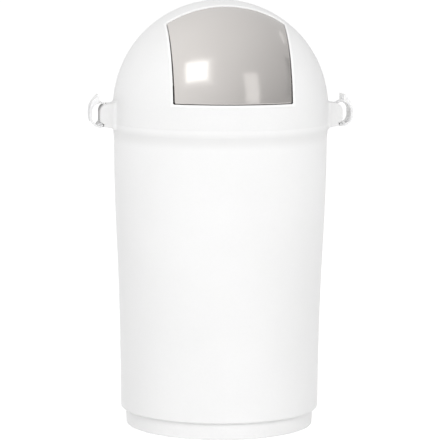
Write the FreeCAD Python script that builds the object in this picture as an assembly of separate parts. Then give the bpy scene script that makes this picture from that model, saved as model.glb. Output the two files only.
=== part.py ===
import FreeCAD, Part
import math
import os

# Free-standing round waste bin with a domed lid, a push flap in the dome and a latch clip on each side.
# Millimetres. +Z is up, -Y is the front, the origin is the middle of the base on the floor.

Vector = FreeCAD.Vector

# Overall sizes
total_height = 761.5
dome_radius = 192.0
wall = 2.8

# Foot ring and floor. Every inset is from the dome's radius.
foot_height = 30.0
foot_bottom_inset = 24.9
foot_top_inset = 23.2
foot_ring_width = 7.0
foot_recess = 6.0
foot_edge_round = 2.0
floor_thickness = 3.0

# Tub wall: an S curve, nearly upright at the base and again at the neck
base_inset = 14.3
base_edge_round = 4.0
neck_inset = 2.0
lower_curve_share = 0.65
cove_height = 19.0
collar_slope_height = 9.0
collar_height = 13.0
collar_edge_inset = 0.4
seam_inset = 0.2
seam_drop = 27.0
seam_chamfer = 0.15

# Lid
lid_wall = 2.8
spigot_depth = 20.0
spigot_wall = 2.2
spigot_clearance = 0.4
spigot_lead_in = 1.2

# Flap opening in the dome, with a raised bead round it
opening_half_width = 104.0
opening_sill_rise = 17.0
opening_top_setback = 61.0
opening_top_lean = 11.0
opening_corner = 2.0
opening_edge_round = 1.5
bead_width = 4.5
bead_height = 0.7
bead_edge_round = 0.6

# Push flap
flap_inset = 0.8
flap_thickness = 2.4
flap_rim_depth = 7.0
flap_rim_wall = 2.4
flap_edge_round = 1.6
flap_corner = 3.0
flap_top_gap = 0.8
flap_sill_gap = 1.0
flap_side_gap_low = 2.4
flap_side_gap_high = 0.6

# Flap hinge inside the dome
axle_setback = 36.0
axle_rise = 130.0
axle_radius = 2.5
running_clearance = 0.05
press_clearance = 0.02
ear_inset = 16.0
ear_thickness = 4.0
ear_hub_radius = 8.0
ear_reach_down = 41.0
ear_top_margin = 2.7
ear_top_gap = 2.5
bush_radius = 4.0
bush_flange_radius = 6.0
bush_flange = 1.0
bracket_outset = 6.0
bracket_thickness = 4.0
bracket_boss_radius = 8.0
bracket_arm_width = 16.0
snap_slot_width = 4.4
snap_slot_angle = 330.0
axle_overhang = 5.0
groove_depth = 0.5
groove_width = 1.2
groove_gap = 0.2
axle_clip_radius = 5.0
axle_clip_thickness = 1.0
axle_clip_mouth = 3.6

# Travel stop and the return springs
stop_peg_radius = 3.0
stop_peg_distance = 22.0
stop_peg_angle = 255.4
stop_lobe_radius = 6.0
stop_peg_overlap = 2.0
ear_peg_radius = 2.5
ear_peg_distance = 20.0
ear_peg_angle = 184.0
ear_peg_length = 7.5
wire_diameter = 1.6
coil_radius = 5.0
coil_start_gap = 5.5
coil_length = 8.9
coil_whole_turns = 3
spring_leg_length = 26.0
spring_leg_gap = 0.3

# Closing tabs on the flap, each with a rubber bumper
tab_rise = 55.0
tab_height = 14.0
tab_thickness = 2.4
tab_outset = 8.4
bumper_outset = 3.8
bumper_radius = 3.5
bumper_height = 1.6
bumper_gap = 0.3
bumper_stem_radius = 1.6
bumper_bulb_radius = 2.4
bumper_bulb_height = 1.4

# Side lugs: the upper half belongs to the lid, the lower half to the tub. Overhangs are from the dome.
lug_overhang = 26.5
lug_half_width = 23.0
lug_top_rise = 8.0
lug_top_round = 13.0
lug_root_round = 8.0
lug_plan_flare = 20.0
lug_plan_corner = 3.0
lug_slot_half_width = 10.6
lug_slot_overhang = 13.6
lug_pocket_wall = 2.9
lug_pocket_half_width = 19.5
tub_lug_overhang = 19.3
tub_lug_drop_end = 32.5
tub_lug_drop_root = 40.5
tub_lug_root_round = 5.0

# Latch clips, hinged low on the tub lugs
pivot_overhang = 25.0
pivot_drop = 29.0
knuckle_radius = 4.5
knuckle_clearance = 0.5
knuckle_end_gap = 0.3
tub_knuckle_half_width = 11.0
clip_half_width = 22.0
latch_pin_radius = 1.5
latch_pin_inset = 0.2
strap_thickness = 3.8
strap_lower_radius = 18.7
strap_straight = 9.8
strap_upper_radius = 32.2
strap_upper_end_angle = 50.0
strap_inner_top_radius = 13.7
strap_root_notch = 10.0
strap_edge_round = 1.0
tab_inner_gap = 0.4
thumb_tab_top = 24.4
thumb_tab_thickness = 3.4
tongue_half_width = 10.0
tongue_overhang = 14.4
tongue_top_drop = 9.4
tongue_thickness = 4.6
tongue_slump_top = 5.5
tongue_slump_low = 4.6
tongue_bow = 0.6

# Heights and radii that follow from the sizes above
foot_bottom_radius = dome_radius - foot_bottom_inset
foot_top_radius = dome_radius - foot_top_inset
base_radius = dome_radius - base_inset
neck_radius = dome_radius - neck_inset
collar_edge_radius = dome_radius - collar_edge_inset
seam_radius = dome_radius - seam_inset
lug_reach = dome_radius + lug_overhang
lug_slot_bottom = dome_radius + lug_slot_overhang
tub_lug_reach = dome_radius + tub_lug_overhang
pivot_reach = dome_radius + pivot_overhang
tongue_reach = dome_radius + tongue_overhang
ear_inner_x = opening_half_width - ear_inset
bracket_inner_x = opening_half_width + bracket_outset
tab_end_x = opening_half_width + tab_outset
bumper_x = opening_half_width + bumper_outset
dome_z = total_height - dome_radius
seam_z = dome_z - seam_drop
collar_z = seam_z - collar_height
cove_z = collar_z - cove_height
side_start_z = foot_height + base_edge_round
floor_top_z = foot_recess + floor_thickness
rim_inner_radius = neck_radius - wall
spigot_radius = rim_inner_radius - spigot_clearance
dome_inner_radius = dome_radius - lid_wall
flap_radius = dome_radius - flap_inset
dome_centre = Vector(0, 0, dome_z)
axle_z = dome_z + axle_rise
axle_y = -axle_setback
bracket_outer_x = bracket_inner_x + bracket_thickness
ear_outer_x = ear_inner_x + ear_thickness
coil_start_x = ear_outer_x + coil_start_gap
axle_half_length = bracket_outer_x + axle_overhang
groove_x = bracket_outer_x + groove_gap
tab_radius = dome_inner_radius - bumper_gap - bumper_height
side_rise = cove_z - side_start_z
side_swell = neck_radius - base_radius
side_curve_sum = (side_rise**2 + side_swell**2) / (2 * side_swell)
side_joint_z = side_start_z + lower_curve_share * side_rise
pivot_z = dome_z - pivot_drop
strap_low_rise = strap_lower_radius - pivot_drop - knuckle_radius
strap_high_rise = strap_low_rise + strap_straight
strap_outer_x = pivot_reach + strap_lower_radius
strap_inner_x = strap_outer_x - strap_thickness
clip_tab_x = lug_reach + tab_inner_gap
far = 2 * dome_radius

NODES = {}


def turned_point(radius, height):
    """A point of a profile that is turned about the bin's axis, drawn at the back."""
    return Vector(0, radius, height)


def line(start, end):
    return Part.LineSegment(start, end).toShape()


def arc(start, middle, end):
    return Part.Arc(start, middle, end).toShape()


def chain(corners):
    """Straight edges through (point, radius) corners, each inner corner rounded to its radius."""
    edges = []
    start = corners[0][0]
    for (before, _), (corner, radius), (after, _) in zip(corners, corners[1:], corners[2:]):
        if radius == 0:
            edges.append(line(start, corner))
            start = corner
            continue
        back = (before - corner).normalize()
        ahead = (after - corner).normalize()
        half = back.getAngle(ahead) / 2
        reach = radius / math.tan(half)
        bisector = (back + ahead).normalize()
        centre = corner + bisector * (radius / math.sin(half))
        end = corner + ahead * reach
        edges.append(line(start, corner + back * reach))
        edges.append(arc(corner + back * reach, centre - bisector * radius, end))
        start = end
    edges.append(line(start, corners[-1][0]))
    return edges


def face(edges):
    return Part.Face(Part.Wire(edges))


def turned(edges):
    """The solid that a closed profile sweeps about the bin's axis."""
    return face(edges).revolve(Vector(0, 0, 0), Vector(0, 0, 1), 360)


def ball(radius):
    return Part.makeSphere(radius, dome_centre)


def rod(radius, start, end):
    """A round bar between two points."""
    return Part.makeCylinder(radius, (end - start).Length, start, end - start)


def block(x0, x1, y0, y1, z0, z1):
    return Part.makeBox(x1 - x0, y1 - y0, z1 - z0, Vector(x0, y0, z0))


def mirrored(shape):
    """The same piece on the bin's left side."""
    return shape.mirror(Vector(0, 0, 0), Vector(1, 0, 0))


def keep_pair(name, right):
    NODES[name + "_right"] = right
    NODES[name + "_left"] = mirrored(right)


# Tub

def side_radius(z):
    """Outer radius of the tub wall at a height: two arcs that meet tangent, both upright at their ends."""
    if z <= side_joint_z:
        curve = lower_curve_share * side_curve_sum
        return base_radius + curve - math.sqrt(curve**2 - (z - side_start_z) ** 2)
    curve = (1 - lower_curve_share) * side_curve_sum
    return neck_radius - curve + math.sqrt(curve**2 - (cove_z - z) ** 2)


def side_curve(inset):
    """The curve of the tub wall, from the base up, moved inwards by an inset."""
    heights = [side_start_z + side_rise * share for share in (0, 0.25, 0.5, lower_curve_share, 0.85, 1)]
    curve = Part.BSplineCurve()
    curve.interpolate(
        [turned_point(side_radius(z) - inset, z) for z in heights],
        InitialTangent=Vector(0, 0, side_rise),
        FinalTangent=Vector(0, 0, side_rise),
    )
    return [curve.toShape()]


def make_tub_shell():
    foot_inner_radius = foot_bottom_radius - foot_ring_width
    foot = chain([
        (turned_point(0, foot_recess), 0),
        (turned_point(foot_inner_radius, foot_recess), 0),
        (turned_point(foot_inner_radius, 0), 0),
        (turned_point(foot_bottom_radius, 0), foot_edge_round),
        (turned_point(foot_top_radius, foot_height), 0),
        (turned_point(base_radius - base_edge_round, foot_height), 0),
    ])
    base_edge = arc(
        turned_point(base_radius - base_edge_round, foot_height),
        turned_point(
            base_radius - base_edge_round * (1 - math.sqrt(0.5)),
            side_start_z - base_edge_round * math.sqrt(0.5),
        ),
        turned_point(base_radius, side_start_z),
    )
    cove_half = (cove_height - collar_slope_height) / 2
    cove_start = turned_point(neck_radius, cove_z)
    collar_edge = turned_point(collar_edge_radius, collar_z)
    slope = (collar_edge - turned_point(neck_radius, cove_z + cove_half)).normalize()
    cove_end = turned_point(neck_radius, cove_z + cove_half) + slope * cove_half
    cove = [arc_from(cove_start, Vector(0, 0, 1), cove_end), line(cove_end, collar_edge)]
    collar = chain([
        (turned_point(collar_edge_radius, collar_z), 0),
        (turned_point(seam_radius, seam_z - seam_chamfer), 0),
        (turned_point(seam_radius - seam_chamfer, seam_z), 0),
        (turned_point(rim_inner_radius, seam_z), 0),
        (turned_point(rim_inner_radius, cove_z), 0),
    ])
    step_z = foot_height + wall
    inside = chain([
        (turned_point(base_radius - wall, side_start_z), 0),
        (turned_point(base_radius - wall, step_z), 0),
        (turned_point(foot_top_radius - wall, step_z), 0),
        (turned_point(foot_bottom_radius - wall, floor_top_z), foot_edge_round),
        (turned_point(0, floor_top_z), 0),
        (turned_point(0, foot_recess), 0),
    ])
    outer_side = side_curve(0)
    inner_side = side_curve(wall)
    return turned(foot + [base_edge] + outer_side + cove + collar + inner_side[::-1] + inside)


def lug_plan():
    """Outline of a lug seen from above: parallel sides that flare into the round wall."""
    side = lug_half_width
    flare = lug_plan_flare
    flare_x = math.sqrt((seam_radius + flare) ** 2 - (side + flare) ** 2)
    turn = math.atan2(side + flare, flare_x)
    root = Vector(seam_radius * math.cos(turn), seam_radius * math.sin(turn), 0)
    middle_angle = (math.pi / 2 + turn) / 2
    middle = Vector(flare_x - flare * math.sin(middle_angle), 0, 0)
    middle.y = side + flare - flare * math.cos(middle_angle)
    end = Vector(flare_x, side, 0)
    inner = Vector(seam_radius - lid_wall, 0, 0)
    tip = lug_reach + 1

    def flipped(point):
        return Vector(point.x, -point.y, 0)

    outer = chain([
        (end, 0),
        (Vector(tip, side, 0), lug_plan_corner),
        (Vector(tip, -side, 0), lug_plan_corner),
        (flipped(end), 0),
    ])
    edges = [line(inner, root), arc(root, middle, end)] + outer
    edges += [arc(flipped(end), flipped(middle), flipped(root)), line(flipped(root), inner)]
    return edges


def lug_prism():
    low = seam_z - tub_lug_drop_root
    high = dome_z + 2 * lug_top_rise
    prism = face(lug_plan()).extrude(Vector(0, 0, high - low))
    prism.translate(Vector(0, 0, low))
    return prism


def pivot_bar(radius, half_width):
    """A bar along a clip's hinge line."""
    start = Vector(pivot_reach, -half_width, pivot_z)
    return rod(radius, start, Vector(pivot_reach, half_width, pivot_z))


def make_tub_lug():
    end_z = dome_z - tub_lug_drop_end
    root_z = dome_z - tub_lug_drop_root
    ring = turned(chain([
        (turned_point(neck_radius - wall / 2, seam_z), 0),
        (turned_point(tub_lug_reach, seam_z), 0),
        (turned_point(tub_lug_reach, end_z), 0),
        (turned_point(collar_edge_radius + tub_lug_root_round, root_z + tub_lug_root_round), 0),
        (turned_point(neck_radius - wall / 2, root_z), 0),
        (turned_point(neck_radius - wall / 2, seam_z), 0),
    ]))
    lug = ring.common(lug_prism())
    web = block(
        tub_lug_reach - knuckle_radius,
        pivot_reach,
        -tub_knuckle_half_width,
        tub_knuckle_half_width,
        pivot_z - knuckle_radius,
        seam_z,
    )
    lug = lug.fuse(web).fuse(pivot_bar(knuckle_radius, tub_knuckle_half_width))
    return lug.cut(pivot_bar(latch_pin_radius + press_clearance, clip_half_width))


def make_tub():
    lug = make_tub_lug()
    return make_tub_shell().fuse([lug, mirrored(lug)])


# Lid

def make_lid_shell():
    shoulder = 1 / math.sqrt(2)
    outer_dome = arc(
        turned_point(0, dome_z + dome_radius),
        turned_point(dome_radius * shoulder, dome_z + dome_radius * shoulder),
        turned_point(dome_radius, dome_z),
    )
    inner_dome = arc(
        turned_point(dome_inner_radius, dome_z),
        turned_point(dome_inner_radius * shoulder, dome_z + dome_inner_radius * shoulder),
        turned_point(0, dome_z + dome_inner_radius),
    )
    spigot_low_z = seam_z - spigot_depth
    skirt = chain([
        (turned_point(dome_radius, dome_z), 0),
        (turned_point(seam_radius, seam_z + seam_chamfer), 0),
        (turned_point(seam_radius - seam_chamfer, seam_z), 0),
        (turned_point(spigot_radius, seam_z), 0),
        (turned_point(spigot_radius, spigot_low_z + spigot_lead_in), 0),
        (turned_point(spigot_radius - spigot_lead_in, spigot_low_z), 0),
        (turned_point(spigot_radius - spigot_wall, spigot_low_z), 0),
        (turned_point(spigot_radius - spigot_wall, seam_z + lid_wall), 0),
        (turned_point(seam_radius - lid_wall, seam_z + lid_wall), 0),
        (turned_point(dome_inner_radius, dome_z), 0),
    ])
    crown = line(turned_point(0, dome_z + dome_inner_radius), turned_point(0, dome_z + dome_radius))
    return turned([outer_dome] + skirt + [inner_dome, crown])


def make_lid_lug():
    """Upper half of a lug: it sweeps out of the dome and ends in a fork for the clip's tongue."""
    top_z = dome_z + lug_top_rise
    root_rise = lug_top_rise + lug_root_round
    root_centre_r = math.sqrt((dome_radius + lug_root_round) ** 2 - root_rise**2)
    root_turn = math.atan2(root_rise, root_centre_r)
    touch = turned_point(dome_radius * math.cos(root_turn), dome_z + dome_radius * math.sin(root_turn))
    floor_point = turned_point(root_centre_r, top_z)
    bend = (math.pi / 2 + root_turn) / 2
    middle = turned_point(
        root_centre_r - lug_root_round * math.sin(bend),
        dome_z + root_rise - lug_root_round * math.cos(bend),
    )
    inner_r = dome_radius - lid_wall / 2
    inner_touch_z = dome_z + inner_r * math.sin(root_turn)
    outline = [arc(touch, middle, floor_point)]
    outline += chain([
        (floor_point, 0),
        (turned_point(lug_reach, top_z), lug_top_round),
        (turned_point(lug_reach, seam_z), 0),
        (turned_point(seam_radius - lid_wall / 2, seam_z), 0),
        (turned_point(inner_r * math.cos(root_turn), inner_touch_z), 0),
        (touch, 0),
    ])
    lug = turned(outline).common(lug_prism())
    slot = block(
        lug_slot_bottom, lug_reach + 2, -lug_slot_half_width, lug_slot_half_width, seam_z - 1, top_z + 1
    )
    pocket = block(
        seam_radius + lug_pocket_wall,
        lug_slot_bottom - lug_pocket_wall,
        -lug_pocket_half_width,
        lug_pocket_half_width,
        seam_z - 1,
        top_z - lug_pocket_wall,
    )
    hinge_room = pivot_bar(knuckle_radius + knuckle_clearance, lug_half_width + lug_plan_flare)
    return lug.cut([slot, pocket, hinge_room])


def top_plane_y(z):
    """Where the leaning plane of the opening's top edge is at a height."""
    crown = math.sqrt(dome_radius**2 - opening_top_setback**2)
    lean = math.tan(math.radians(opening_top_lean))
    return -opening_top_setback + (dome_z + crown - z) * lean


def front_wedge(grow, low, half):
    """The space before the top plane, moved back by a width, and above a level, in a half width."""
    high = dome_z + far
    corners = [
        Vector(-half, top_plane_y(low) + grow, low),
        Vector(-half, top_plane_y(high) + grow, high),
        Vector(-half, -far, high),
        Vector(-half, -far, low),
    ]
    edges = [line(corners[i], corners[(i + 1) % 4]) for i in range(4)]
    return face(edges).extrude(Vector(2 * half, 0, 0))


def side_corners(prism, grow, low, least_half):
    """Edges of a prism where its sides meet the top plane and the sill."""
    found = []
    for edge in prism.Edges:
        middle = edge.valueAt((edge.FirstParameter + edge.LastParameter) / 2)
        at_side = abs(middle.x) > least_half
        on_top_plane = abs(middle.y - top_plane_y(middle.z) - grow) < 0.01
        on_sill = abs(middle.z - low) < 0.01 and middle.y > -far
        if at_side and (on_top_plane or on_sill):
            found.append(edge)
    return found


def opening_prism(grow, corner):
    """The straight-sided hole that the flap closes, grown all round by a width, its corners rounded."""
    half = opening_half_width + grow
    low = dome_z + opening_sill_rise - grow
    prism = front_wedge(grow, low, half)
    return prism.makeFillet(corner, side_corners(prism, grow, low, half - 1))


def edges_at_radius(shape, radius, front_of):
    """Edges of a shape that lie on a ball about the dome's centre, in front of a plane."""
    found = []
    for edge in shape.Edges:
        share = (edge.LastParameter - edge.FirstParameter) / 4
        points = [edge.valueAt(edge.FirstParameter + share * i) for i in range(1, 4)]
        on_ball = all(abs((point - dome_centre).Length - radius) < 0.01 for point in points)
        if on_ball and all(point.y < front_of for point in points):
            found.append(edge)
    return found


def hinge_point(distance, angle, x):
    """A point at a distance and an angle about the flap's axle, in a plane across it."""
    turn = math.radians(angle)
    return Vector(x, axle_y + distance * math.cos(turn), axle_z + distance * math.sin(turn))


def bar_plate(start, end, width, x0, x1):
    """A flat link of a width between two points of a plane across the axle."""
    along = end - start
    across = Vector(0, -along.z, along.y).normalize() * (width / 2)
    corners = [start + across, end + across, end - across, start - across]
    for corner in corners:
        corner.x = x0
    edges = [line(corners[i], corners[(i + 1) % 4]) for i in range(4)]
    return face(edges).extrude(Vector(x1 - x0, 0, 0))


def make_bracket():
    """Hanger inside the dome that holds one end of the axle, with the flap's travel stop."""
    x0 = bracket_inner_x
    x1 = bracket_outer_x
    centre = hinge_point(0, 0, x0)
    outward = (Vector(0, axle_y, axle_rise)).normalize()
    arm_end = centre + outward * dome_radius
    stop = hinge_point(stop_peg_distance, stop_peg_angle, x0)
    shift = Vector(bracket_thickness, 0, 0)
    bracket = rod(bracket_boss_radius, centre, centre + shift)
    bracket = bracket.fuse([
        bar_plate(centre, arm_end, bracket_arm_width, x0, x1),
        bar_plate(centre, stop, 2 * stop_lobe_radius, x0, x1),
        rod(stop_lobe_radius, stop, stop + shift),
        rod(stop_peg_radius, stop, Vector(ear_inner_x - stop_peg_overlap, stop.y, stop.z)),
    ])
    bracket = bracket.common(ball(dome_radius - lid_wall / 2))
    bore = rod(axle_radius + running_clearance, centre - shift, centre + shift * 2)
    mouth_end = hinge_point(bracket_boss_radius + bracket_arm_width, snap_slot_angle, x0)
    mouth = bar_plate(centre, mouth_end, snap_slot_width, x0, x1)
    return bracket.cut([bore, mouth])


def make_lid():
    bead = ball(dome_radius + bead_height).common(opening_prism(bead_width, opening_corner + bead_width))
    bead = bead.cut(ball(dome_radius - lid_wall / 2))
    bead = bead.makeFillet(bead_edge_round, edges_at_radius(bead, dome_radius + bead_height, 0))
    lid = make_lid_shell().fuse(bead).cut(opening_prism(0, opening_corner))
    rim = [
        edge for edge in edges_at_radius(lid, dome_radius + bead_height, 0)
        if is_on_opening(edge.valueAt((edge.FirstParameter + edge.LastParameter) / 2))
    ]
    lid = lid.makeFillet(opening_edge_round, rim)
    lug = make_lid_lug()
    bracket = make_bracket()
    return lid.fuse([lug, mirrored(lug), bracket, mirrored(bracket)])


def is_on_opening(point):
    """True for a point on the opening's own side, false for one on the bead's outer side."""
    reach = bead_width / 2
    in_width = abs(point.x) < opening_half_width + reach
    above_sill = point.z > dome_z + opening_sill_rise - reach
    return in_width and above_sill and point.y < top_plane_y(point.z) + reach


# Flap

def flap_prism(inset):
    """Straight-sided outline of the flap, narrower at the sill, taken in by an inset."""
    low = dome_z + opening_sill_rise + flap_sill_gap + inset
    corner_rise = math.sqrt(dome_radius**2 - opening_half_width**2 - opening_top_setback**2)
    taper = (flap_side_gap_low - flap_side_gap_high) / (corner_rise - opening_sill_rise)
    high = dome_z + dome_radius
    low_half = opening_half_width - flap_side_gap_low - inset
    high_half = low_half + taper * (high - low)
    corners = [
        Vector(-low_half, 0, low),
        Vector(low_half, 0, low),
        Vector(high_half, 0, high),
        Vector(-high_half, 0, high),
    ]
    edges = [line(corners[i], corners[(i + 1) % 4]) for i in range(4)]
    shrink = -flap_top_gap - inset
    prism = face(edges).extrude(Vector(0, -far, 0)).common(front_wedge(shrink, low, far))
    corner = max(flap_corner - inset, flap_corner / 4)
    return prism.makeFillet(corner, side_corners(prism, shrink, low, low_half - 1))


def make_flap_shell():
    blank = ball(flap_radius).common(flap_prism(0)).cut(ball(flap_radius - flap_rim_depth))
    hollow = ball(flap_radius - flap_thickness).common(flap_prism(flap_rim_wall))
    shell = blank.cut(hollow)
    return shell.makeFillet(flap_edge_round, edges_at_radius(shell, flap_radius, 0))


def make_flap_ear():
    """Ear that reaches back from the flap to the axle, with the peg that the spring pushes."""
    x0 = ear_inner_x
    hub = hinge_point(0, 0, x0)
    flap_reach = math.sqrt(flap_radius**2 - ear_outer_x**2)

    def on_flap(angle, reach):
        turn = math.radians(angle)
        return Vector(x0, -reach * math.cos(turn), dome_z + reach * math.sin(turn))

    low_angle = 90 - ear_reach_down
    top_angle = math.degrees(math.acos((opening_top_setback + ear_top_margin) / flap_reach))
    corners = [
        hub + Vector(0, 0, -ear_hub_radius),
        on_flap(low_angle, flap_reach),
        on_flap((low_angle + top_angle) / 2, flap_reach + ear_top_gap),
        on_flap(top_angle, flap_reach - ear_top_gap),
        hub + Vector(0, 0, ear_hub_radius),
    ]
    edges = [line(corners[i], corners[(i + 1) % 5]) for i in range(5)]
    ear = face(edges).extrude(Vector(ear_thickness, 0, 0))
    ear = ear.fuse(rod(ear_hub_radius, hub, hub + Vector(ear_thickness, 0, 0)))
    peg = hinge_point(ear_peg_distance, ear_peg_angle, ear_outer_x - ear_thickness / 2)
    peg_end = Vector(ear_outer_x + ear_peg_length, peg.y, peg.z)
    ear = ear.fuse(rod(ear_peg_radius, peg, peg_end))
    ear = ear.common(ball(flap_radius - flap_thickness / 2))
    bore = bush_radius + press_clearance
    return ear.cut(rod(bore, hub - Vector(1, 0, 0), hub + Vector(ear_thickness + 1, 0, 0)))


def bumper_line():
    """Unit vector from the dome's centre through the bumper."""
    depth = math.sqrt(dome_inner_radius**2 - bumper_x**2 - tab_rise**2)
    return Vector(bumper_x, -depth, tab_rise).normalize()


def make_flap_tab():
    tab = ball(tab_radius).cut(ball(tab_radius - tab_thickness))
    low = dome_z + tab_rise - tab_height / 2
    inner_x = opening_half_width - flap_side_gap_low - flap_rim_wall / 2
    tab = tab.common(block(inner_x, tab_end_x, -far, 0, low, low + tab_height))
    through = bumper_line()
    start = dome_centre + through * (tab_radius - 2 * tab_thickness)
    return tab.cut(rod(bumper_stem_radius + press_clearance, start, dome_centre + through * dome_radius))


def make_flap():
    right = [make_flap_ear(), make_flap_tab()]
    return make_flap_shell().fuse(right + [mirrored(shape) for shape in right])


def make_bumper():
    """Rubber stop: a head between the tab and the dome, a stem through the tab and a bulb behind it."""
    through = bumper_line()
    seat = tab_radius + press_clearance
    back = tab_radius - tab_thickness - bumper_gap
    bulb_end = back - bumper_bulb_height
    head = rod(bumper_radius, dome_centre + through * seat, dome_centre + through * (seat + bumper_height))
    stem = rod(bumper_stem_radius, dome_centre + through * bulb_end, dome_centre + through * (seat + 1))
    bulb = rod(bumper_bulb_radius, dome_centre + through * bulb_end, dome_centre + through * back)
    return head.fuse([stem, bulb])


# Flap hinge hardware

def make_axle():
    axle = rod(axle_radius, hinge_point(0, 0, -axle_half_length), hinge_point(0, 0, axle_half_length))
    for side in (-1, 1):
        start = hinge_point(0, 0, side * groove_x)
        end = hinge_point(0, 0, side * (groove_x + groove_width))
        ring = rod(2 * axle_radius, start, end)
        axle = axle.cut(ring.cut(rod(axle_radius - groove_depth, start, end)))
    return axle


def make_axle_clip():
    """Open ring that snaps into the groove outside the bracket."""
    x0 = groove_x + (groove_width - axle_clip_thickness) / 2
    start = hinge_point(0, 0, x0)
    end = hinge_point(0, 0, x0 + axle_clip_thickness)
    inner = axle_radius - groove_depth + running_clearance
    ring = rod(axle_clip_radius, start, end).cut(rod(inner, start, end))
    mouth_end = hinge_point(2 * axle_clip_radius, snap_slot_angle, x0)
    return ring.cut(bar_plate(start, mouth_end, axle_clip_mouth, x0, x0 + axle_clip_thickness))


def make_bush():
    """Flanged plain bush in an ear of the flap."""
    start = hinge_point(0, 0, ear_inner_x)
    flange = hinge_point(0, 0, ear_outer_x)
    end = hinge_point(0, 0, ear_outer_x + bush_flange)
    bush = rod(bush_radius, start, flange).fuse(rod(bush_flange_radius, flange, end))
    return bush.cut(rod(axle_radius + running_clearance, start, end))


def arc_from(point, tangent, end):
    """The arc that leaves a point along a tangent and ends at another point."""
    chord = end - point
    normal = chord - tangent * chord.dot(tangent)
    radius = chord.dot(chord) / (2 * normal.Length)
    centre = point + normal.normalize() * radius
    middle = centre + ((point - centre) + (end - centre)).normalize() * radius
    return arc(point, middle, end)


def biarc(start, start_tangent, end, end_tangent):
    """Two tangent arcs between two points with given tangents."""
    chord = end - start
    along = chord.dot(start_tangent + end_tangent)
    spread = 2 * (1 - start_tangent.dot(end_tangent))
    reach = (math.sqrt(along**2 + spread * chord.dot(chord)) - along) / spread
    joint = (start + end + (start_tangent - end_tangent) * reach) * 0.5
    return [arc_from(start, start_tangent, joint), arc_from(end, end_tangent * -1, joint)]


def spring_path():
    """Flap leg, coil and lid leg of a torsion spring, as lines and arcs."""
    wire_gap = wire_diameter / 2 + spring_leg_gap
    ear_offset = ear_peg_radius + wire_gap
    stop_offset = stop_peg_radius + wire_gap
    ear_turn = math.asin((coil_radius - ear_offset) / ear_peg_distance)
    stop_turn = math.asin((coil_radius - stop_offset) / stop_peg_distance)
    flap_leg_angle = ear_peg_angle - math.degrees(ear_turn)
    lid_leg_angle = stop_peg_angle + math.degrees(stop_turn)
    start_angle = flap_leg_angle + 90
    sweep = (lid_leg_angle - 90 - start_angle) % 360 + 360 * coil_whole_turns
    quarters = round(sweep / 90)
    slope = coil_length / (math.radians(sweep) * coil_radius)

    def on_coil(share):
        return hinge_point(coil_radius, start_angle + sweep * share, coil_start_x + coil_length * share)

    def along_coil(share, rise):
        turn = math.radians(start_angle + sweep * share)
        return Vector(rise, -math.sin(turn), math.cos(turn)).normalize()

    start = on_coil(0)
    end = on_coil(1)
    edges = [line(start - along_coil(0, 0) * spring_leg_length, start)]
    for i in range(quarters):
        rise_in = 0 if i == 0 else slope
        rise_out = 0 if i == quarters - 1 else slope
        low = i / quarters
        high = (i + 1) / quarters
        edges += biarc(on_coil(low), along_coil(low, rise_in), on_coil(high), along_coil(high, rise_out))
    edges.append(line(end, end + along_coil(1, 0) * spring_leg_length))
    return edges


def least_gap_to_itself(edges, diameter):
    """Smallest space between stretches of a wire that are not neighbours, measured on points."""
    points = []
    travelled = 0.0
    for edge in edges:
        steps = max(2, int(edge.Length / (diameter / 4)))
        for i in range(steps):
            share = i / steps
            parameter = edge.FirstParameter + (edge.LastParameter - edge.FirstParameter) * share
            points.append((travelled + edge.Length * share, edge.valueAt(parameter)))
        travelled += edge.Length
    near = math.pi * coil_radius
    return min(
        (a - b).Length for s, a in points for t, b in points if t - s > near
    ) - diameter


def make_spring():
    edges = spring_path()
    own_gap = least_gap_to_itself(edges, wire_diameter)
    print("least gap of the return spring to itself", round(own_gap, 2), "mm")
    path = Part.Wire(edges)
    start = path.OrderedVertexes[0].Point
    tangent = edges[0].tangentAt(edges[0].FirstParameter)
    section = Part.Wire(Part.makeCircle(wire_diameter / 2, start, tangent))
    shell = Part.BRepOffsetAPI.MakePipeShell(path)
    shell.add(section)
    shell.build()
    shell.makeSolid()
    return shell.shape()


# Latch clips

def side_point(x, rise):
    """A point in the plane across the bin, with its height counted from the dome's centre."""
    return Vector(x, 0, dome_z + rise)


def swept_across(edges, half_width):
    """A closed profile of the cross plane made as wide as twice a half width."""
    solid = face(edges).extrude(Vector(0, 2 * half_width, 0))
    solid.translate(Vector(0, -half_width, 0))
    return solid


def circle_points(centre, radius, angles):
    """Points on a circle of the plane across the bin, one for each angle."""
    turns = [math.radians(angle) for angle in angles]
    return [centre + Vector(radius * math.cos(turn), 0, radius * math.sin(turn)) for turn in turns]


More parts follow.
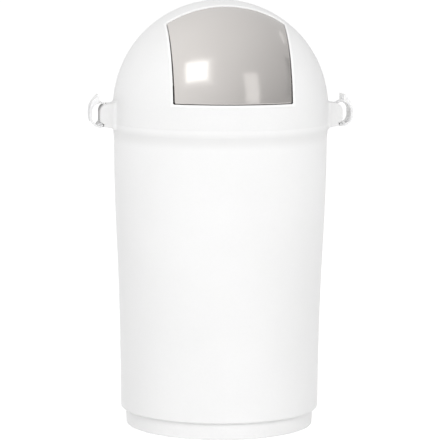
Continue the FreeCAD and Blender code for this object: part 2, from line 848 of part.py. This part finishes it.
def make_strap():
    """Bowed strap of a clip, thickest where its thumb tab stands up."""
    low_centre = side_point(pivot_reach, strap_low_rise)
    high_centre = side_point(strap_outer_x - strap_upper_radius, strap_high_rise)
    inner_centre = side_point(strap_inner_x - strap_inner_top_radius, strap_high_rise)
    tab_reach = (clip_tab_x - inner_centre.x) / strap_inner_top_radius
    tab_angle = math.degrees(math.acos(tab_reach))
    quarter = (-90, -45, 0)
    outer_low = circle_points(low_centre, strap_lower_radius, quarter)
    inner_low = circle_points(low_centre, strap_lower_radius - strap_thickness, quarter)
    crown_angles = (0, strap_upper_end_angle / 2, strap_upper_end_angle)
    outer_high = circle_points(high_centre, strap_upper_radius, crown_angles)
    inner_high = circle_points(inner_centre, strap_inner_top_radius, (0, tab_angle / 2, tab_angle))
    tab_round = thumb_tab_thickness / 2
    tab_outer = side_point(clip_tab_x + thumb_tab_thickness, thumb_tab_top - tab_round)
    tab_crown = side_point(clip_tab_x + tab_round, thumb_tab_top)
    tab_inner = side_point(clip_tab_x, thumb_tab_top - tab_round)
    edges = [
        arc(*outer_low),
        line(outer_low[2], outer_high[0]),
        arc(*outer_high),
        line(outer_high[2], tab_outer),
        arc(tab_outer, tab_crown, tab_inner),
        line(tab_inner, inner_high[2]),
        arc(*inner_high[::-1]),
        line(inner_high[0], inner_low[2]),
        arc(*inner_low[::-1]),
        line(inner_low[0], outer_low[0]),
    ]
    strap = swept_across(edges, clip_half_width)
    side_edges = []
    for edge in strap.Edges:
        middle = edge.valueAt((edge.FirstParameter + edge.LastParameter) / 2)
        if abs(abs(middle.y) - clip_half_width) < 0.01 and middle.x > pivot_reach + 1:
            side_edges.append(edge)
    return strap.makeFillet(strap_edge_round, side_edges)


def make_tongue():
    """Narrow tongue of a clip that lies in the fork of the lid's lug, bowed and thinner at its tip."""
    root_x = clip_tab_x + strap_edge_round
    tip_x = tongue_reach + tongue_thickness / 2
    middle_x = (root_x + tongue_reach) / 2
    top_rise = tongue_top_drop + tongue_thickness
    top_root = side_point(root_x, top_rise)
    low_root = side_point(root_x, tongue_top_drop)
    top_tip = side_point(tip_x, top_rise - tongue_slump_top)
    low_tip = side_point(tip_x + tongue_thickness / 4, tongue_top_drop - tongue_slump_low)
    tip = side_point(tongue_reach, (top_tip.z + low_tip.z) / 2 - dome_z)
    top_middle = side_point(middle_x, top_rise - tongue_slump_top / 2 - tongue_bow)
    low_middle = side_point(middle_x, tongue_top_drop - tongue_slump_low / 2 + tongue_bow)
    edges = [
        arc(top_root, top_middle, top_tip),
        arc(top_tip, tip, low_tip),
        arc(low_tip, low_middle, low_root),
        line(low_root, top_root),
    ]
    return swept_across(edges, tongue_half_width)


def make_clip():
    inner_y = tub_knuckle_half_width + knuckle_end_gap
    notch = pivot_bar(strap_root_notch, inner_y)
    clip = make_strap().cut(notch)
    for side in (-1, 1):
        start = Vector(pivot_reach, side * inner_y, pivot_z)
        clip = clip.fuse(rod(knuckle_radius, start, Vector(pivot_reach, side * clip_half_width, pivot_z)))
    clip = clip.fuse(make_tongue())
    return clip.cut(pivot_bar(latch_pin_radius + running_clearance, clip_half_width + 1))


def make_all():
    NODES["tub"] = make_tub()
    NODES["dome_lid"] = make_lid()
    NODES["push_flap"] = make_flap()
    NODES["flap_axle"] = make_axle()
    keep_pair("axle_clip", make_axle_clip())
    keep_pair("flap_bush", make_bush())
    keep_pair("return_spring", make_spring())
    keep_pair("flap_bumper", make_bumper())
    keep_pair("latch_clip", make_clip())
    keep_pair("latch_pin", pivot_bar(latch_pin_radius, clip_half_width - latch_pin_inset))


make_all()
os.makedirs("parts", exist_ok=True)
for name, shape in NODES.items():
    shape.exportStep("parts/" + name + ".step")
    box = shape.BoundBox
    size = " x ".join(str(round(length, 1)) for length in (box.XLength, box.YLength, box.ZLength))
    print(name, len(shape.Solids), "solid", "valid" if shape.isValid() else "NOT VALID", size)
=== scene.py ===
import bpy
import math
from mathutils import Matrix, Quaternion, Vector


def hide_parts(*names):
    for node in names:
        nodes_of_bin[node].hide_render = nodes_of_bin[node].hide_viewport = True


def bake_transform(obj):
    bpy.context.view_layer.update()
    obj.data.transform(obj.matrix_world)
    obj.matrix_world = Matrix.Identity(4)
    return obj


# White waste bin with a domed lid and a silver push flap. Metres, +Z up, the flap faces -Y.

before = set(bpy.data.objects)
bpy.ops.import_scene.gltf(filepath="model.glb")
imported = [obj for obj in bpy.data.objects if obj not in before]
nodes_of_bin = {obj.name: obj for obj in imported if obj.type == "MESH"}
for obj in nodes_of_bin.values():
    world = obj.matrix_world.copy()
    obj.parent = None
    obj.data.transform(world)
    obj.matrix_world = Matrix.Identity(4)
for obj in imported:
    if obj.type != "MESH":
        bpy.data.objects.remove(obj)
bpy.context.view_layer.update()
bpy.ops.object.select_all(action="DESELECT")

# Camera
camera_azimuth = -7.9
camera_distance = 4.41
camera_height = 0.902
camera_pitch = 6.92
camera_roll = 0.29
camera_lens = 202.66


def place_camera():
    data = bpy.data.cameras.new("camera")
    data.sensor_width = 36
    data.lens = camera_lens
    data.clip_end = 200
    camera = bpy.data.objects.new("camera", data)
    bpy.context.collection.objects.link(camera)
    turn = math.radians(camera_azimuth)
    place = Vector((math.sin(turn) * camera_distance, -math.cos(turn) * camera_distance, camera_height))
    camera.matrix_world = (
        Matrix.Translation(place)
        @ Matrix.Rotation(turn, 4, "Z")
        @ Matrix.Rotation(math.radians(90 - camera_pitch), 4, "X")
        @ Matrix.Rotation(math.radians(camera_roll), 4, "Z")
    )
    bpy.context.scene.camera = camera


# Building blocks of the finishes


class Finish:
    """A material being wired: its shader, its object coordinates and short ways to add nodes."""

    def __init__(self, name):
        self.material = bpy.data.materials.new(name)
        self.material.use_nodes = True
        tree = self.material.node_tree
        self.nodes = tree.nodes
        self.links = tree.links
        self.shader = self.nodes["Principled BSDF"]
        self.coordinates = self.nodes.new("ShaderNodeTexCoord").outputs["Object"]
        self.normal = None

    def put(self, value, socket):
        """Wires an output, or writes a plain number or colour."""
        if isinstance(value, bpy.types.NodeSocket):
            self.links.new(value, socket)
        else:
            socket.default_value = value

    def stretched(self, scale, place=(0, 0, 0)):
        mapping = self.nodes.new("ShaderNodeMapping")
        mapping.inputs["Scale"].default_value = scale
        mapping.inputs["Location"].default_value = place
        self.links.new(self.coordinates, mapping.inputs["Vector"])
        return mapping.outputs["Vector"]

    def noise(self, scale, detail=3, roughness=0.5, vector=None):
        node = self.nodes.new("ShaderNodeTexNoise")
        node.inputs["Scale"].default_value = scale
        node.inputs["Detail"].default_value = detail
        node.inputs["Roughness"].default_value = roughness
        self.links.new(vector or self.coordinates, node.inputs["Vector"])
        return node.outputs["Fac"]

    def cells(self, scale, vector=None, feature="F1"):
        node = self.nodes.new("ShaderNodeTexVoronoi")
        node.feature = feature
        node.inputs["Scale"].default_value = scale
        self.links.new(vector or self.coordinates, node.inputs["Vector"])
        return node.outputs["Distance"]

    def remap(self, value, low, high, to_low, to_high, smooth=False):
        node = self.nodes.new("ShaderNodeMapRange")
        node.interpolation_type = "SMOOTHSTEP" if smooth else "LINEAR"
        self.links.new(value, node.inputs["Value"])
        for key, number in (("From Min", low), ("From Max", high), ("To Min", to_low), ("To Max", to_high)):
            node.inputs[key].default_value = number
        return node.outputs["Result"]

    def combine(self, operation, a, b):
        node = self.nodes.new("ShaderNodeMath")
        node.operation = operation
        self.put(a, node.inputs[0])
        self.put(b, node.inputs[1])
        return node.outputs[0]

    def blend(self, share, colour_a, colour_b):
        node = self.nodes.new("ShaderNodeMix")
        node.data_type = "RGBA"
        self.put(share, node.inputs["Factor"])
        for value, socket in ((colour_a, node.inputs["A"]), (colour_b, node.inputs["B"])):
            self.put(value if isinstance(value, bpy.types.NodeSocket) else (*value, 1), socket)
        return node.outputs["Result"]

    def along(self, axis):
        node = self.nodes.new("ShaderNodeSeparateXYZ")
        self.links.new(self.coordinates, node.inputs[0])
        return node.outputs[axis]

    def soft_edges(self, radius):
        """Every sharp edge catches light as if rounded by a radius."""
        node = self.nodes.new("ShaderNodeBevel")
        node.samples = 6
        node.inputs["Radius"].default_value = radius
        self.normal = node.outputs["Normal"]

    def bump(self, height, distance, strength=1.0):
        node = self.nodes.new("ShaderNodeBump")
        node.inputs["Strength"].default_value = strength
        node.inputs["Distance"].default_value = distance
        self.links.new(height, node.inputs["Height"])
        if self.normal is not None:
            self.links.new(self.normal, node.inputs["Normal"])
        self.normal = node.outputs["Normal"]

    def done(self, colour, roughness, **constants):
        self.put(colour if isinstance(colour, bpy.types.NodeSocket) else (*colour, 1), self.shader.inputs["Base Color"])
        self.put(roughness, self.shader.inputs["Roughness"])
        if self.normal is not None:
            self.links.new(self.normal, self.shader.inputs["Normal"])
        for key, value in constants.items():
            self.shader.inputs[key.replace("_", " ")].default_value = value
        return self.material


opening_half_width = 0.104
opening_sill_z = 0.5865
opening_top_y = -0.061
opening_top_z = 0.7516
opening_top_lean = 11
bead_width = 0.0045
bead_fade = 0.0003


def bead_highlight_mask(f):
    """1 on the raised bead round the flap opening, 0 on the rest of the dome; it marks where a highlight is painted
    into the colour.
    """
    side = f.combine("ABSOLUTE", f.along("X"), 0)
    side_edge = opening_half_width + bead_width
    between_sides = f.remap(side, side_edge - bead_fade, side_edge + bead_fade, 1, 0)
    sill_edge = opening_sill_z - bead_width
    above_sill = f.remap(f.along("Z"), sill_edge - bead_fade, sill_edge + bead_fade, 0, 1)
    lean = math.tan(math.radians(opening_top_lean))
    depth = f.combine("ADD", f.along("Y"), f.combine("MULTIPLY", f.along("Z"), lean))
    top_edge = opening_top_y + opening_top_z * lean + bead_width
    before_top = f.remap(depth, top_edge - bead_fade, top_edge + bead_fade, 1, 0)
    return f.combine("MULTIPLY", between_sides, f.combine("MULTIPLY", above_sill, before_top))


cove_low_z = 0.506
cove_middle_z = 0.5275
collar_edge_z = 0.5405


def cove_shade_mask(f):
    """1 in the hollow under the tub's collar, fading out downwards; it marks where shade is painted into the colour."""
    below_collar = f.remap(f.along("Z"), cove_middle_z, collar_edge_z, 1, 0, smooth=True)
    above_wall = f.remap(f.along("Z"), cove_low_z, cove_middle_z, 0, 1, smooth=True)
    return f.combine("MULTIPLY", below_collar, above_wall)


lug_root_x = 0.1915
lug_shade_full_x = 0.197


def lug_shade_mask(f):
    """1 on the side lugs, where painted shade darkens the colour."""
    side = f.combine("ABSOLUTE", f.along("X"), 0)
    return f.remap(side, lug_root_x, lug_shade_full_x, 0, 1, smooth=True)


def moulded_white(name, tone, gloss, scuff_top, depth, see_in, lugs=False, bead=False, cove=False):
    """White moulded plastic with fine grain, slow flow marks, faint rub marks and light scuffs low down; on request it
    also gets painted shade on the lugs and under the collar, and a painted highlight on the bead.

    Light goes a depth into the plastic, with a share see_in of it.
    """
    f = Finish(name)
    f.soft_edges(0.0003)
    clouds = f.noise(5.5, 4)
    freckles = f.noise(240, 3, 0.6)
    mixed = f.combine("ADD", f.combine("MULTIPLY", clouds, 0.7), f.combine("MULTIPLY", freckles, 0.3))
    light = [channel * tone for channel in (0.905, 0.904, 0.903)]
    dark = [channel * tone for channel in (0.875, 0.874, 0.872)]
    colour = f.blend(f.remap(mixed, 0.35, 0.65, 0, 1), dark, light)
    streaks = f.noise(1, 5, 0.65, f.stretched((90, 90, 900)))
    rubs = f.combine("MULTIPLY", f.remap(streaks, 0.62, 0.78, 0, 1), f.remap(f.noise(9, 2), 0.5, 0.7, 0, 1))
    colour = f.blend(f.combine("MULTIPLY", rubs, 0.10), colour, (0.62, 0.61, 0.59))
    low = f.remap(f.along("Z"), 0.0, scuff_top, 1, 0, smooth=True)
    scuffs = f.combine("MULTIPLY", low, f.remap(f.noise(150, 8, 0.7), 0.54, 0.74, 0, 1))
    colour = f.blend(f.combine("MULTIPLY", scuffs, 0.08), colour, (0.55, 0.54, 0.52))
    if lugs:
        # Painted shade: the side lugs are darkened in colour to stand in for shade.
        colour = f.blend(f.combine("MULTIPLY", lug_shade_mask(f), 0.68), colour, (0.735, 0.733, 0.73))
    if cove:
        # Painted shade: the hollow under the collar is darkened in colour.
        colour = f.blend(f.combine("MULTIPLY", cove_shade_mask(f), 0.52), colour, (0.737, 0.735, 0.731))
    if bead:
        # Painted highlight: the bead round the flap opening is lightened in colour.
        colour = f.blend(bead_highlight_mask(f), colour, (0.95, 0.95, 0.945))
    roughness = f.remap(mixed, 0.3, 0.7, gloss - 0.03, gloss + 0.05)
    roughness = f.combine("ADD", roughness, f.combine("MULTIPLY", f.combine("MAXIMUM", rubs, scuffs), 0.18))
    f.bump(f.noise(1, 3, 0.5, f.stretched((11, 11, 3.2))), 0.0006, 0.35)
    f.bump(f.noise(1500, 2, 0.5), 0.00008, 0.35)
    return f.done(
        colour,
        roughness,
        Specular_IOR_Level=0.5,
        IOR=1.49,
        Subsurface_Weight=see_in,
        Subsurface_Radius=(1.0, 1.0, 0.95),
        Subsurface_Scale=depth,
    )


def silver_plastic():
    """Glossy silver-grey coated plastic with fine flakes, faint fingertip haze and hairline scratches."""
    f = Finish("flap silver")
    f.soft_edges(0.0005)
    flakes = f.cells(2600)
    clouds = f.noise(7, 3)
    colour = f.blend(f.remap(flakes, 0.1, 0.7, 0, 1), (0.60, 0.575, 0.555), (0.55, 0.525, 0.505))
    colour = f.blend(f.remap(clouds, 0.35, 0.7, 0, 0.25), colour, (0.64, 0.615, 0.595))
    hairlines = f.noise(1, 4, 0.7, f.stretched((700, 60, 60)))
    scratches = f.remap(hairlines, 0.68, 0.76, 0, 1)
    haze = f.remap(f.noise(26, 5, 0.62), 0.48, 0.75, 0, 1)
    roughness = f.combine("ADD", 0.13, f.combine("MULTIPLY", haze, 0.07))
    roughness = f.combine("ADD", roughness, f.combine("MULTIPLY", scratches, 0.08))
    f.bump(f.noise(14, 2), 0.0005, 0.12)
    f.bump(flakes, 0.00003, 0.25)
    return f.done(colour, roughness, Metallic=0.86, Coat_Weight=0.35, Coat_Roughness=0.06, Coat_IOR=1.45)


def drawn_steel():
    """Bright drawn rod with fine lines along it and a few stains."""
    f = Finish("drawn steel rod")
    f.soft_edges(0.0003)
    lines = f.noise(1, 5, 0.6, f.stretched((40, 2400, 2400)))
    stains = f.noise(160, 5, 0.65)
    colour = f.blend(f.remap(lines, 0.3, 0.7, 0, 1), (0.56, 0.56, 0.57), (0.70, 0.70, 0.70))
    colour = f.blend(f.remap(stains, 0.6, 0.75, 0, 0.5), colour, (0.36, 0.32, 0.28))
    roughness = f.remap(lines, 0.25, 0.75, 0.2, 0.38)
    f.bump(lines, 0.00004, 0.5)
    return f.done(colour, roughness, Metallic=1.0, Anisotropic=0.4)


def spring_wire():
    """Oiled spring wire, dark with lighter rubbed spots."""
    f = Finish("spring wire")
    f.soft_edges(0.0002)
    spots = f.noise(420, 5, 0.6)
    colour = f.blend(f.remap(spots, 0.4, 0.62, 0, 1), (0.30, 0.30, 0.32), (0.52, 0.52, 0.54))
    roughness = f.remap(spots, 0.3, 0.7, 0.24, 0.42)
    f.bump(f.noise(1800, 3), 0.00005, 0.4)
    return f.done(colour, roughness, Metallic=1.0)


def natural_nylon():
    """Milky natural nylon, slightly waxy."""
    f = Finish("natural nylon")
    f.soft_edges(0.0003)
    clouds = f.noise(190, 4)
    colour = f.blend(f.remap(clouds, 0.35, 0.65, 0, 1), (0.78, 0.75, 0.66), (0.84, 0.82, 0.74))
    f.bump(f.noise(1400, 3), 0.00006, 0.4)
    return f.done(colour, f.remap(clouds, 0.3, 0.7, 0.42, 0.56), Subsurface_Weight=0.15, Subsurface_Scale=0.002)


def black_rubber():
    """Matt black rubber with a bloom on its skin."""
    f = Finish("black rubber")
    f.soft_edges(0.0003)
    bloom = f.noise(330, 6, 0.65)
    colour = f.blend(f.remap(bloom, 0.42, 0.7, 0, 1), (0.016, 0.016, 0.017), (0.055, 0.055, 0.057))
    f.bump(f.noise(2200, 3), 0.00008, 0.6)
    return f.done(colour, f.remap(bloom, 0.3, 0.7, 0.62, 0.85), Specular_IOR_Level=0.35)


def finish_pieces():
    tub_white = moulded_white("tub white", 0.995, 0.36, 0.05, 0.002, 0.12, lugs=True, cove=True)
    lid_white = moulded_white("lid white", 0.97, 0.31, 0.02, 0.002, 0.12, lugs=True, bead=True)
    clip_white = moulded_white("clip white", 0.98, 0.33, 0.02, 0.018, 0.8)
    rod_steel = drawn_steel()
    wire_steel = spring_wire()
    finishes = {
        "tub": tub_white,
        "dome_lid": lid_white,
        "push_flap": silver_plastic(),
        "flap_axle": rod_steel,
        "axle_clip": wire_steel,
        "flap_bush": natural_nylon(),
        "flap_bumper": black_rubber(),
        "latch_clip": clip_white,
        "latch_pin": rod_steel,
        "return_spring": wire_steel,
    }
    for name, node in nodes_of_bin.items():
        material = finishes.get(name) or finishes[name.rsplit("_", 1)[0]]
        node.data.materials.clear()
        node.data.materials.append(material)
    return finishes


# Return springs: they twist between the dome's stop peg and the flap's peg


def wind_springs(material):
    for side, name in ((1, "return_spring_right"), (-1, "return_spring_left")):
        spring = nodes_of_bin[name].copy()
        spring.data = spring.data.copy()
        spring.name = "wound_" + name
        spring.parent = None
        bpy.context.collection.objects.link(spring)
        bpy.ops.object.select_all(action="DESELECT")
        spring.select_set(True)
        bpy.context.view_layer.objects.active = spring
        bpy.ops.object.mode_set(mode="EDIT")
        bpy.ops.mesh.select_all(action="SELECT")
        bpy.ops.mesh.remove_doubles(threshold=0.000002)
        bpy.ops.object.mode_set(mode="OBJECT")
        bpy.ops.object.shade_smooth_by_angle(angle=math.radians(40))
        spring.data.materials.clear()
        spring.data.materials.append(material)
        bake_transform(spring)
        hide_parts(name)
        spring.select_set(False)


# Studio


def emission_only(name, strength, slope=None):
    """A glowing studio surface; its glow may change evenly along a direction."""
    material = bpy.data.materials.new(name)
    material.use_nodes = True
    nodes = material.node_tree.nodes
    links = material.node_tree.links
    nodes.remove(nodes["Principled BSDF"])
    glow = nodes.new("ShaderNodeEmission")
    glow.inputs["Strength"].default_value = strength
    if slope:
        coordinates = nodes.new("ShaderNodeTexCoord")
        rise = nodes.new("ShaderNodeVectorMath")
        rise.operation = "DOT_PRODUCT"
        rise.inputs[1].default_value = slope
        level = nodes.new("ShaderNodeMath")
        level.inputs[1].default_value = strength
        links.new(coordinates.outputs["Object"], rise.inputs[0])
        links.new(rise.outputs["Value"], level.inputs[0])
        links.new(level.outputs[0], glow.inputs["Strength"])
    links.new(glow.outputs[0], nodes["Material Output"].inputs["Surface"])
    return material


def aim(thing, azimuth, elevation, distance, target, roll=0):
    """Puts a thing round a target, its -Z towards it. Azimuth 0 is in front of the flap, plus is the bin's right."""
    a = math.radians(azimuth)
    e = math.radians(elevation)
    back = Vector((math.sin(a) * math.cos(e), -math.cos(a) * math.cos(e), math.sin(e)))
    thing.rotation_mode = "QUATERNION"
    thing.location = target + back * distance
    turn = (-back).to_track_quat("-Z", "Y")
    thing.rotation_quaternion = turn @ Quaternion((0, 0, 1), math.radians(roll))


dome_middle = Vector((0, 0, 0.5695))
tub_middle = Vector((0, 0, 0.35))
panel_distance = 1.6
tent_radius = 6.0


def show_in_gloss_only(thing):
    thing.visible_camera = False
    thing.visible_diffuse = False
    thing.visible_shadow = False
    thing.visible_transmission = False
    thing.visible_volume_scatter = False
    thing.select_set(False)


def panel(name, azimuth, elevation, roll, width, height, strength, distance=panel_distance):
    """A flat glowing panel that only shows in reflections."""
    bpy.ops.mesh.primitive_plane_add(size=1)
    card = bpy.context.object
    card.name = name
    card.scale = (width, height, 1)
    bpy.ops.object.transform_apply(location=False, rotation=False, scale=True)
    card.data.materials.append(emission_only(name + " glow", strength))
    aim(card, azimuth, elevation, distance, dome_middle, roll)
    show_in_gloss_only(card)


def pitch_tent():
    """White tent round the set, brighter high up and on the bin's left. It only shows in reflections."""
    bpy.ops.mesh.primitive_uv_sphere_add(radius=tent_radius, location=dome_middle)
    tent = bpy.context.object
    tent.name = "tent"
    slope = Vector((-0.366, -0.019, 0.279)) / tent_radius
    tent.data.materials.append(emission_only("tent glow", 0.816, slope))
    show_in_gloss_only(tent)


def soft_lamp(name, azimuth, elevation, distance, width, height, watts, target):
    data = bpy.data.lights.new(name, "AREA")
    data.shape = "RECTANGLE"
    data.size = width
    data.size_y = height
    data.energy = watts
    lamp = bpy.data.objects.new(name, data)
    bpy.context.collection.objects.link(lamp)
    aim(lamp, azimuth, elevation, distance, target)
    lamp.visible_glossy = False
    lamp.visible_camera = False
    return lamp


def side_fill(name, azimuth, watts):
    """A small gridded lamp that lifts one side of the dome and its clip."""
    lamp = soft_lamp(name, azimuth, 7, 2.5, 0.6, 0.3, watts, dome_middle)
    lamp.data.spread = math.radians(16)


def light_path_share(nodes, links):
    """1 for rays that should see the plain white background: from the camera, a gloss or clear plastic."""
    path = nodes.new("ShaderNodeLightPath")
    both = nodes.new("ShaderNodeMath")
    both.operation = "MAXIMUM"
    links.new(path.outputs["Is Glossy Ray"], both.inputs[0])
    links.new(path.outputs["Is Transmission Ray"], both.inputs[1])
    share = nodes.new("ShaderNodeMath")
    share.operation = "MAXIMUM"
    links.new(path.outputs["Is Camera Ray"], share.inputs[0])
    links.new(both.outputs[0], share.inputs[1])
    return share.outputs[0]


def make_world():
    world = bpy.data.worlds.new("studio")
    bpy.context.scene.world = world
    world.use_nodes = True
    nodes = world.node_tree.nodes
    links = world.node_tree.links
    room = nodes["Background"]
    room.inputs["Color"].default_value = (1, 1, 1, 1)
    room.inputs["Strength"].default_value = 0.66
    white = nodes.new("ShaderNodeBackground")
    white.inputs["Color"].default_value = (1, 1, 1, 1)
    white.inputs["Strength"].default_value = 1.0
    mix = nodes.new("ShaderNodeMixShader")
    links.new(light_path_share(nodes, links), mix.inputs["Fac"])
    links.new(room.outputs[0], mix.inputs[1])
    links.new(white.outputs[0], mix.inputs[2])
    links.new(mix.outputs[0], nodes["World Output"].inputs["Surface"])


def make_floor():
    bpy.ops.mesh.primitive_plane_add(size=80)
    floor = bpy.context.object
    floor.name = "floor"
    material = bpy.data.materials.new("floor paper")
    material.use_nodes = True
    nodes = material.node_tree.nodes
    links = material.node_tree.links
    nodes.remove(nodes["Principled BSDF"])
    paper = nodes.new("ShaderNodeBsdfDiffuse")
    paper.inputs["Color"].default_value = (0.9, 0.9, 0.9, 1)
    glow = nodes.new("ShaderNodeEmission")
    glow.inputs["Color"].default_value = (1, 1, 1, 1)
    path = light_path_share(nodes, links)
    lift = nodes.new("ShaderNodeMath")
    lift.operation = "MULTIPLY"
    lift.inputs[1].default_value = 0.46
    links.new(path, lift.inputs[0])
    links.new(lift.outputs[0], glow.inputs["Strength"])
    both = nodes.new("ShaderNodeAddShader")
    links.new(paper.outputs[0], both.inputs[0])
    links.new(glow.outputs[0], both.inputs[1])
    links.new(both.outputs[0], nodes["Material Output"].inputs["Surface"])
    floor.data.materials.append(material)
    floor.select_set(False)


def light_studio():
    make_world()
    make_floor()
    pitch_tent()
    soft_lamp("front light", -6, 29, 9.0, 4.2, 4.2, 325, tub_middle)
    side_fill("left fill", -100, 0.055)
    side_fill("right fill", 85, 0.08)
    panel("square softbox", -37.5, 38.9, 15, 0.60, 0.57, 2.2)
    panel("softbox spill", -37.5, 38.9, 15, 0.76, 0.74, 1.36, panel_distance + 0.02)
    panel("outer spill", -37.5, 38.9, 15, 0.96, 0.93, 1.235, panel_distance + 0.04)
    panel("tall strip", 26.1, 22.5, -5, 0.40, 0.82, 1.22)
    panel("thin strip", 117.6, 41.8, 0, 0.38, 0.04, 1.35)
    panel("grey card", 79.4, 21.4, -40, 0.35, 1.0, 0.45)


place_camera()
finishes = finish_pieces()
wind_springs(finishes["return_spring"])
light_studio()
bpy.context.scene.view_settings.view_transform = "Standard"
